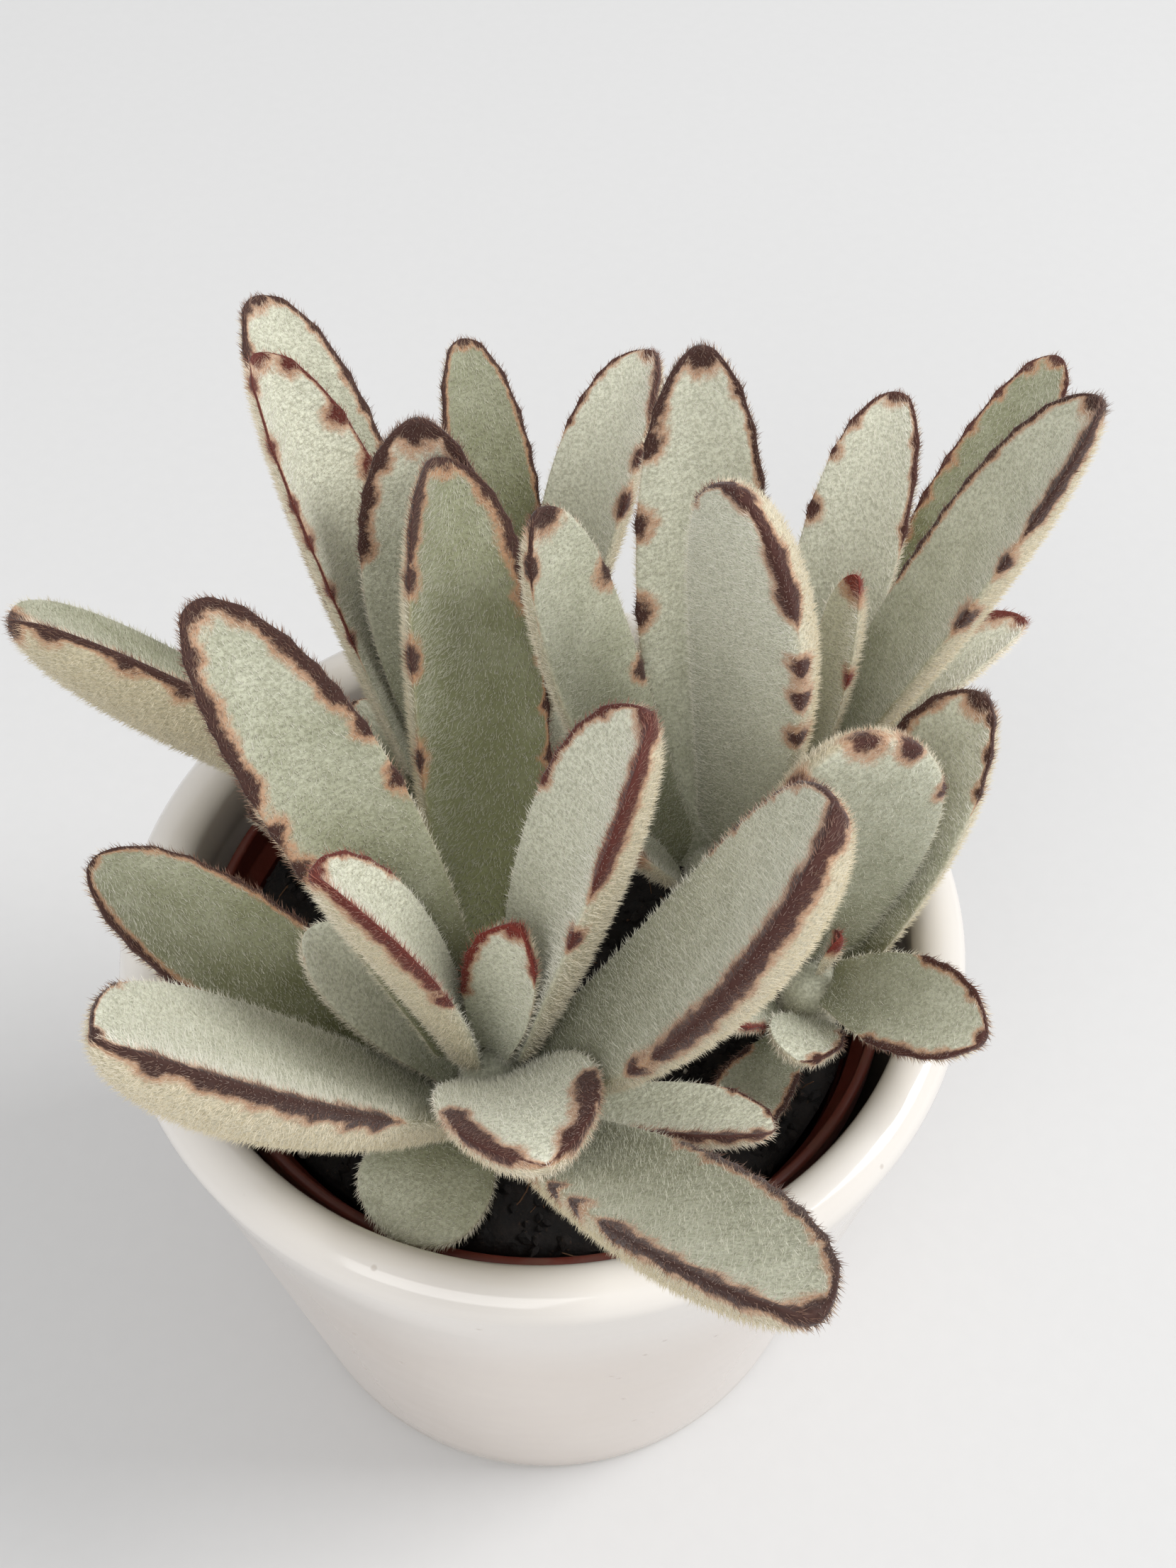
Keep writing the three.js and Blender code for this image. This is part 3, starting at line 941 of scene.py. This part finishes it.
# %% The leaf table
LOOKS = {
    "leaf_front_1": (0.6, 0.2, []),
    "leaf_front_2": (0.85, 0, [("near", .35, 1, 9, 1.6, 1), ("far", .3, 1, 9, 1.3, 1)]),
    "leaf_front_3": (0.25, 0.1, [("near", .5, .96, 5, 2.2, .5), ("far", .8, .98, 2, 1.2, .6)]),
    "leaf_front_4": (0.6, 0, [("near", .18, .66, 6, 2.5, 0), ("near", .7, 1, 6, 2.4, .9),
                              ("far", .45, 1, 9, 1.8, .9), ("tip", 2.4)]),
    "leaf_front_5": (0.3, 0.1, []),
    "leaf_front_6": (0.3, 0, [("near", .45, .97, 7, 2.7, .8), ("far", .88, .99, 2, 1.3, .6)]),
    "leaf_front_7": (0.95, 0, [("left", .55, .81, 3, 2.6, 0), ("left", .88, 1, 3, 2.4, 1),
                               ("right", .78, 1, 5, 2.6, 1), ("right", .5, .74, 4, 1.6, .4),
                               ("tip", 2.2)]),
    "leaf_front_8": (0.4, 0.1, [("near", .55, 1, 8, 3.2, 1), ("near", .41, .49, 2, 2.7, 0),
                                ("far", .6, 1, 6, 1.5, .8), ("tip", 2.0)]),
    "leaf_front_9": (0.6, 0, [("left", .72, 1, 6, 2.5, 1), ("left", .55, .65, 2, 2.5, 0),
                              ("right", .76, 1, 5, 2.5, 1), ("right", .57, .69, 2, 2.5, 0),
                              ("tip", 2.4)]),
    "leaf_front_10": (0.05, 0.1, [("left", .7, .95, 5, 2.4, 1, .1),
                                  ("right", .7, .95, 5, 2.4, 1, .1)]),
    "leaf_front_11": (0.0, 0.55, [("near", .6, 1, 5, 2.7, .9), ("near", .5, .51, 1, 2.4, 0),
                                  ("far", .75, 1, 4, 1.3, .7), ("tip", 1.8)]),
    "leaf_front_12": (0.15, 0.35, [("right", .72, 1, 5, 2.8, 1), ("right", .54, .55, 1, 2.6, 0),
                                   ("left", .7, 1, 5, 1.7, .9), ("tip", 2.2)]),
    "leaf_front_13": (0.0, 0.95, [("left", .45, 1, 5, 1.8, .9), ("right", .85, 1, 2, 1.5, .8),
                                  ("tip", 1.8)]),
    "leaf_front_14": (0.0, 1.0, [("tip", 2.8)]),
    "leaf_left_1": (0.75, 0, [("near", .35, .97, 6, 2.8, .5), ("tip", 2.6)]),
    "leaf_left_2": (0.4, 0, [("left", .45, .98, 8, 1.9, .7), ("right", .5, .98, 7, 1.8, .8),
                             ("tip", 2.0)]),
    "leaf_left_3": (0.05, 0.45, [("left", .45, .95, 6, 2.0, .2), ("right", .6, .96, 4, 2.6, .3),
                                 ("tip", 2.2)]),
    "leaf_left_4": (0.35, 0, [("left", .7, 1, 5, 2.4, .9), ("right", .8, 1, 4, 2.4, .9),
                              ("tip", 3.6)]),
    "leaf_left_5": (0.4, 0, [("left", .4, 1, 5, 1.3, 1), ("right", .4, 1, 5, 1.3, 1)]),
    "leaf_left_6": (0.5, 0, [("left", .4, 1, 4, 1.2, 1), ("right", .4, 1, 4, 1.2, 1)]),
    "leaf_back_1": (0.85, 0, [("left", .4, .98, 7, 1.1, 1), ("right", .4, .98, 7, 1.1, 1),
                              ("tip", 1.4)]),
    "leaf_back_2": (0.05, 0.1, [("right", .6, .85, 3, 2.5, 0), ("right", .86, 1, 3, 2.0, .9),
                                ("left", .75, 1, 5, 1.2, .8), ("tip", 1.8)]),
    "leaf_back_3": (0.6, 0, [("tip", 2.0)]),
    "leaf_back_4": (0.5, 0, [("tip", 2.0)]),
    "leaf_back_5": (0.3, 0.4, [("tip", 2.0)]),
    "leaf_middle_1": (0.25, 0, [("left", .55, .85, 3, 2.9, 0), ("left", .9, 1, 2, 2.2, .9),
                                ("right", .6, 1, 7, 1.5, .9), ("tip", 2.8)]),
    "leaf_middle_2": (0.2, 0.1, [("right", .52, .84, 4, 2.5, 0), ("right", .88, 1, 3, 2.4, .8),
                                 ("left", .9, 1, 2, 1.5, .6), ("tip", 1.8)]),
    "leaf_middle_3": (0.5, 0, [("right", .5, .76, 2, 3.2, 0), ("left", .93, 1, 1, 1.8, .4),
                               ("tip", 3.2)]),
    "leaf_middle_4": (0.2, 0.9, [("tip", 2.6)]),
    "leaf_right_1": (0.5, 0, [("tip", 2.2)]),
    "leaf_right_2": (0.9, 0.15, [("left", .35, .97, 9, 1.8, .4), ("right", .5, .97, 7, 1.3, .9),
                                 ("tip", 1.8)]),
    "leaf_right_3": (0.4, 0, [("right", .8, 1, 5, 2.6, .9), ("right", .55, .7, 2, 2.6, 0),
                              ("left", .5, 1, 8, 1.3, .9), ("tip", 2.2)]),
    "leaf_right_4": (0.1, 0.1, [("left", .7, .85, 2, 2.2, 0), ("left", .9, 1, 2, 1.6, .8),
                                ("right", .7, 1, 4, 1.4, .8), ("tip", 2.0)]),
    "leaf_right_5": (0.0, 0.6, [("far", .75, 1, 4, 2.5, .9), ("far", .45, .6, 2, 2.2, 0),
                                ("tip", 2.2)]),
    "leaf_right_6": (0.0, 0.9, [("right", .6, .61, 1, 2.0, 0), ("tip", 3.0)]),
    "leaf_small_1": (0.45, 0, [("far", .6, 1, 6, 2.2, .9), ("near", .8, .97, 3, 1.4, .5),
                               ("tip", 2.4)]),
    "leaf_small_2": (0.45, 0.1, [("near", .5, 1, 6, 1.6, .9), ("far", .6, 1, 5, 1.5, .9)]),
    "leaf_small_3": (0.15, 0.1, [("near", .5, .98, 3, 1.2, .6)]),
    "leaf_small_4": (0.2, 0.8, [("left", .4, .98, 4, 1.2, 1), ("right", .4, .98, 4, 1.2, 1),
                                ("tip", 1.6)]),
    "leaf_small_5": (0.45, 0, [("near", .3, 1, 6, 1.1, 1), ("far", .3, 1, 6, 1.1, 1)]),
    "leaf_small_6": (0.1, 0.9, [("tip", 2.4)]),
    "leaf_small_7": (0.5, 0.1, [("left", .7, .9, 2, 2.8, 0), ("right", .75, .95, 2, 2.6, 0),
                                 ("tip", 2.4)]),
}
SIDES = {"near": (0, -1, 0), "far": (0, 1, 0), "left": (-1, 0, 0), "right": (1, 0, 0)}
print("leaves described:", len(LOOKS))

# %% [markdown]
# ## Marks and teeth
#
# A mark's depth at a point is 1 in its middle and falls to 0 at its edge, by the straight
# distance between the two: a distance is smooth, so the skin needs no finer points than it
# has. A margin without a mark is just deep enough for a tan halo, which the noise darkens
# here and there. Where a spot sits, the margin also swells into a small rounded tooth.

# %% Depth inside the marks
MARGINS = (AROUND // 4, 3 * AROUND // 4)
BARE_MARGIN = -0.48
MARGIN_REACH = 1.4
TOOTH_HEIGHT = 0.3
TOOTH_REACH = 1.1


def margin_line(skin, side):
    """Which line of the skin is the margin that faces a side."""
    towards = np.array(SIDES[side])
    outer = slice(len(skin) // 3, None)
    return max(MARGINS, key=lambda line: float((skin[outer, line] @ towards).mean()))


def from_line(skin, line):
    """How far each point lies from the point of one line in the same row."""
    return np.linalg.norm(skin - skin[:, line:line + 1], axis=2)


def marks_and_teeth(skin, shares, marks, dice):
    """Mark depth at every point, and how far each point swells into a tooth, in metres."""
    off_edge = np.minimum(*[from_line(skin, line) for line in MARGINS])
    depth = BARE_MARGIN - off_edge / (MARGIN_REACH * MM) - 2 * (0.5 - shares).clip(0)[:, None]
    swell = np.zeros(skin.shape[:2])
    for mark in marks:
        if mark[0] == "tip":
            away = np.linalg.norm(skin - skin[-1, 0], axis=2)
            depth = np.maximum(depth, 1 - away / (mark[1] * MM))
            continue
        side, start, end, count, width, joined = mark[:6]
        line = margin_line(skin, side)
        inset = mark[6] if len(mark) > 6 else 0
        line += round(inset * AROUND) * (1 if line > AROUND // 2 else -1)
        spots = np.linspace(start, end, count) + dice.uniform(-0.01, 0.01, count)
        for spot in spots:
            row = int(np.argmin(abs(shares - spot)))
            reach = width * MM * dice.uniform(0.62, 0.8)
            away = np.linalg.norm(skin - skin[row, line], axis=2)
            depth = np.maximum(depth, 1 - away / reach)
            tooth = TOOTH_HEIGHT * MM * np.exp(-(away / (TOOTH_REACH * MM)) ** 2)
            swell = np.maximum(swell, tooth)
        if joined:
            outside = np.maximum(start - shares, shares - end).clip(0)[:, None]
            band = 1 - from_line(skin, line) / (width * MM * 0.6 * joined) - outside * 14
            depth = np.maximum(depth, band)
    return depth.clip(-1, 1), swell


# %% [markdown]
# ## Dressing a leaf
#
# With the skin, its marks and its teeth, a leaf is quickly made: build the faces, store
# what the finishes read, unwrap it (round the leaf is across the map, base to tip is up
# it), and grow the hairs, as densely as the whole plant can carry.

# %% Make a leaf
HAIRS_PER_AREA = 6.8e6
HAIR_PATCH = 0.004
LEAF_COAT = {"shortest": 0.45 * MM, "longest": 1.2 * MM, "thickness": 0.046 * MM,
             "lean": 0.9, "untidiness": 0.55}
STEM_COAT = {"shortest": 0.3 * MM, "longest": 0.8 * MM, "thickness": 0.036 * MM,
             "lean": 0.6, "untidiness": 0.6}


def skin_faces(around, along):
    faces = []
    for row in range(along):
        for column in range(around):
            after = (column + 1) % around
            faces.append((row * around + column, row * around + after,
                          (row + 1) * around + after, (row + 1) * around + column))
    return faces


def store(mesh, name, values, kind="FLOAT"):
    made = mesh.attributes.new(name, kind, "POINT")
    key = "vector" if kind == "FLOAT_VECTOR" else "value"
    made.data.foreach_set(key, np.ascontiguousarray(values, dtype=np.float32).ravel())


def unwrap(mesh, around, along):
    """A map over the left half, for the skin; the right half is kept for the hairs."""
    layer = mesh.uv_layers.new(name="OFBake")
    places = []
    for face in mesh.polygons:
        rows = [mesh.loops[i].vertex_index // around for i in face.loop_indices]
        columns = [mesh.loops[i].vertex_index % around for i in face.loop_indices]
        wraps = max(columns) - min(columns) > around // 2
        for row, column in zip(rows, columns):
            across = (column + around if wraps and column == 0 else column) / around
            places += [MAP_EDGE + MAP_WIDTH * across, MAP_EDGE + MAP_HEIGHT * row / along]
    layer.data.foreach_set("uv", places)


def close_ends(piece):
    """Merges the doubled points at base and tip without moving the others."""
    tidy = bmesh.new()
    tidy.from_mesh(piece.data)
    bmesh.ops.remove_doubles(tidy, verts=tidy.verts, dist=0.001 * MM)
    tidy.to_mesh(piece.data)
    tidy.free()


def grow_hairs(piece, coat, seed):
    run_tree(piece, HAIRS, per_area=HAIRS_PER_AREA, patch_size=HAIR_PATCH, seed=seed,
             body_finish=LEAF_BODY, hair_finish=LEAF_HAIR, **coat)


def make_leaf(leaf, number):
    olive, rust, marks = LOOKS[leaf]
    dice = np.random.default_rng(SEED * 100 + number)
    skin = leaf_skin(leaf, AROUND, ALONG)
    shares = (1 - np.cos(np.linspace(0, math.pi, ALONG + 1))) / 2
    depth, swell = marks_and_teeth(skin, shares, marks, dice)
    outward = skin - skin.mean(axis=1, keepdims=True)
    outward /= np.maximum(np.linalg.norm(outward, axis=2, keepdims=True), 1e-9)
    skin = skin + outward * swell[:, :, None]
    grow = np.gradient(skin, axis=0)
    grow /= np.maximum(np.linalg.norm(grow, axis=2, keepdims=True), 1e-9)
    turn = 2 * math.pi * np.arange(AROUND) / AROUND
    keel = np.clip(0.5 - 1.6 * np.cos(turn), 0, 1)[None, :] * np.ones((ALONG + 1, 1))
    green = olive + 0.6 * (0.55 - shares)[:, None] * np.ones((1, AROUND))
    root = np.stack(np.broadcast_arrays(np.arange(AROUND)[None, :] / AROUND,
                                        np.arange(ALONG + 1)[:, None] / ALONG, 0.0), axis=2)
    piece = new_piece(leaf.replace("leaf_", "felted_leaf_"), skin.reshape(-1, 3),
                      skin_faces(AROUND, ALONG))
    mesh = piece.data
    unwrap(mesh, AROUND, ALONG)
    store(mesh, "mark", depth)
    store(mesh, "cream", keel)
    store(mesh, "olive", green)
    store(mesh, "rust", np.full(depth.shape, rust))
    store(mesh, "grow", grow, "FLOAT_VECTOR")
    store(mesh, "root", root, "FLOAT_VECTOR")
    close_ends(piece)
    piece.data.shade_smooth()
    grow_hairs(piece, LEAF_COAT, SEED + number)
    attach(piece, "root")
    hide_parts(leaf)
    return piece


leaves = [make_leaf(leaf, number) for number, leaf in enumerate(LOOKS)]
print("leaves:", len(leaves), "with", sum(len(p.data.polygons) for p in leaves), "faces")
print("fullest leaf:", max(len(p.data.polygons) for p in leaves), "faces")

# %% [markdown]
# ## Stems
#
# A stem of this plant is stout, felted like the leaves, and brown where old leaves fell.
# The measured stem is a twelve-sided solid with a domed top. A copy of it is merged and
# rounded by two levels of subdivision, and the same hair tree gives it its coat.

# %% Make the stems
def make_stem(node, number):
    solid = plain_solid(node)
    mesh = bpy.data.meshes.new(node)
    solid.to_mesh(mesh)
    solid.free()
    piece = bpy.data.objects.new(node.replace("stem_", "felted_stem_"), mesh)
    scene.collection.objects.link(piece)
    rounding = piece.modifiers.new("rounding", "SUBSURF")
    rounding.levels = rounding.render_levels = 2
    keep_result(piece)
    mesh = piece.data
    height = np.array([v.co.z for v in mesh.vertices])
    share = (height - height.min()) / (height.max() - height.min())
    store(mesh, "mark", np.full(len(height), -1.0))
    store(mesh, "cream", 0.7 * (1 - share))
    store(mesh, "olive", 0.5 - 0.3 * share)
    store(mesh, "rust", np.zeros(len(height)))
    store(mesh, "grow", np.tile((0.0, 0.0, 1.0), (len(height), 1)), "FLOAT_VECTOR")
    store(mesh, "root", np.zeros((len(height), 3)), "FLOAT_VECTOR")
    mesh.shade_smooth()
    grow_hairs(piece, STEM_COAT, SEED + 60 + number)
    # A stem's skin has no place in the map, so the hairs' part of it is dropped as well.
    layer = piece.data.uv_layers.get("OFBake")
    if layer:
        piece.data.uv_layers.remove(layer)
    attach(piece, "root")
    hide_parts(node)
    return piece


stem_names = sorted(name for name in frame["nodes"] if name.startswith("stem_"))
stems = [make_stem(name, number) for number, name in enumerate(stem_names)]
print("stems:", len(stems), "with", sum(len(p.data.polygons) for p in stems), "faces")

# %% [markdown]
# ## Table and light
#
# The plant stands on a plain pale table under soft studio light. One big lamp hangs to the
# right, so the shadow falls to the left; a second fills it in from the front; and a pale
# world lights the rest. The Standard view keeps whites as they are.

# %% Lay the table and set the lights
TABLE = 14.0
table = new_piece("table_top", [(-TABLE, -TABLE, 0), (TABLE, -TABLE, 0),
                                (TABLE, TABLE, 0), (-TABLE, TABLE, 0)], [(0, 1, 2, 3)])


def table_paint(book):
    grain = book.noise(book.place(), 300, 2)
    return {"Base Color": book.mix(grain, colour(209, 209, 209), colour(212, 212, 212)),
            "Roughness": 0.7 + grain * 0.05}


table.data.materials.append(finish("table_paint", table_paint))


def soft_lamp(name, place, size, watts):
    """A square lamp turned towards the plant."""
    lamp = bpy.data.lights.new(name, "AREA")
    lamp.size = size
    lamp.energy = watts
    made = bpy.data.objects.new(name, lamp)
    made.location = place
    made.rotation_euler = (Vector((0, 0, 0.1)) - Vector(place)).to_track_quat("-Z", "Y").to_euler()
    scene.collection.objects.link(made)


soft_lamp("key_lamp", (1.7, 0.15, 1.9), 1.1, 40.0)
soft_lamp("fill_lamp", (-0.6, -1.4, 1.6), 1.4, 16.0)
world = bpy.data.worlds.new("pale_room")
world.use_nodes = True
world.node_tree.nodes["Background"].inputs["Color"].default_value = (1, 1, 1, 1)
world.node_tree.nodes["Background"].inputs["Strength"].default_value = 0.62
scene.world = world
scene.view_settings.view_transform = "Standard"
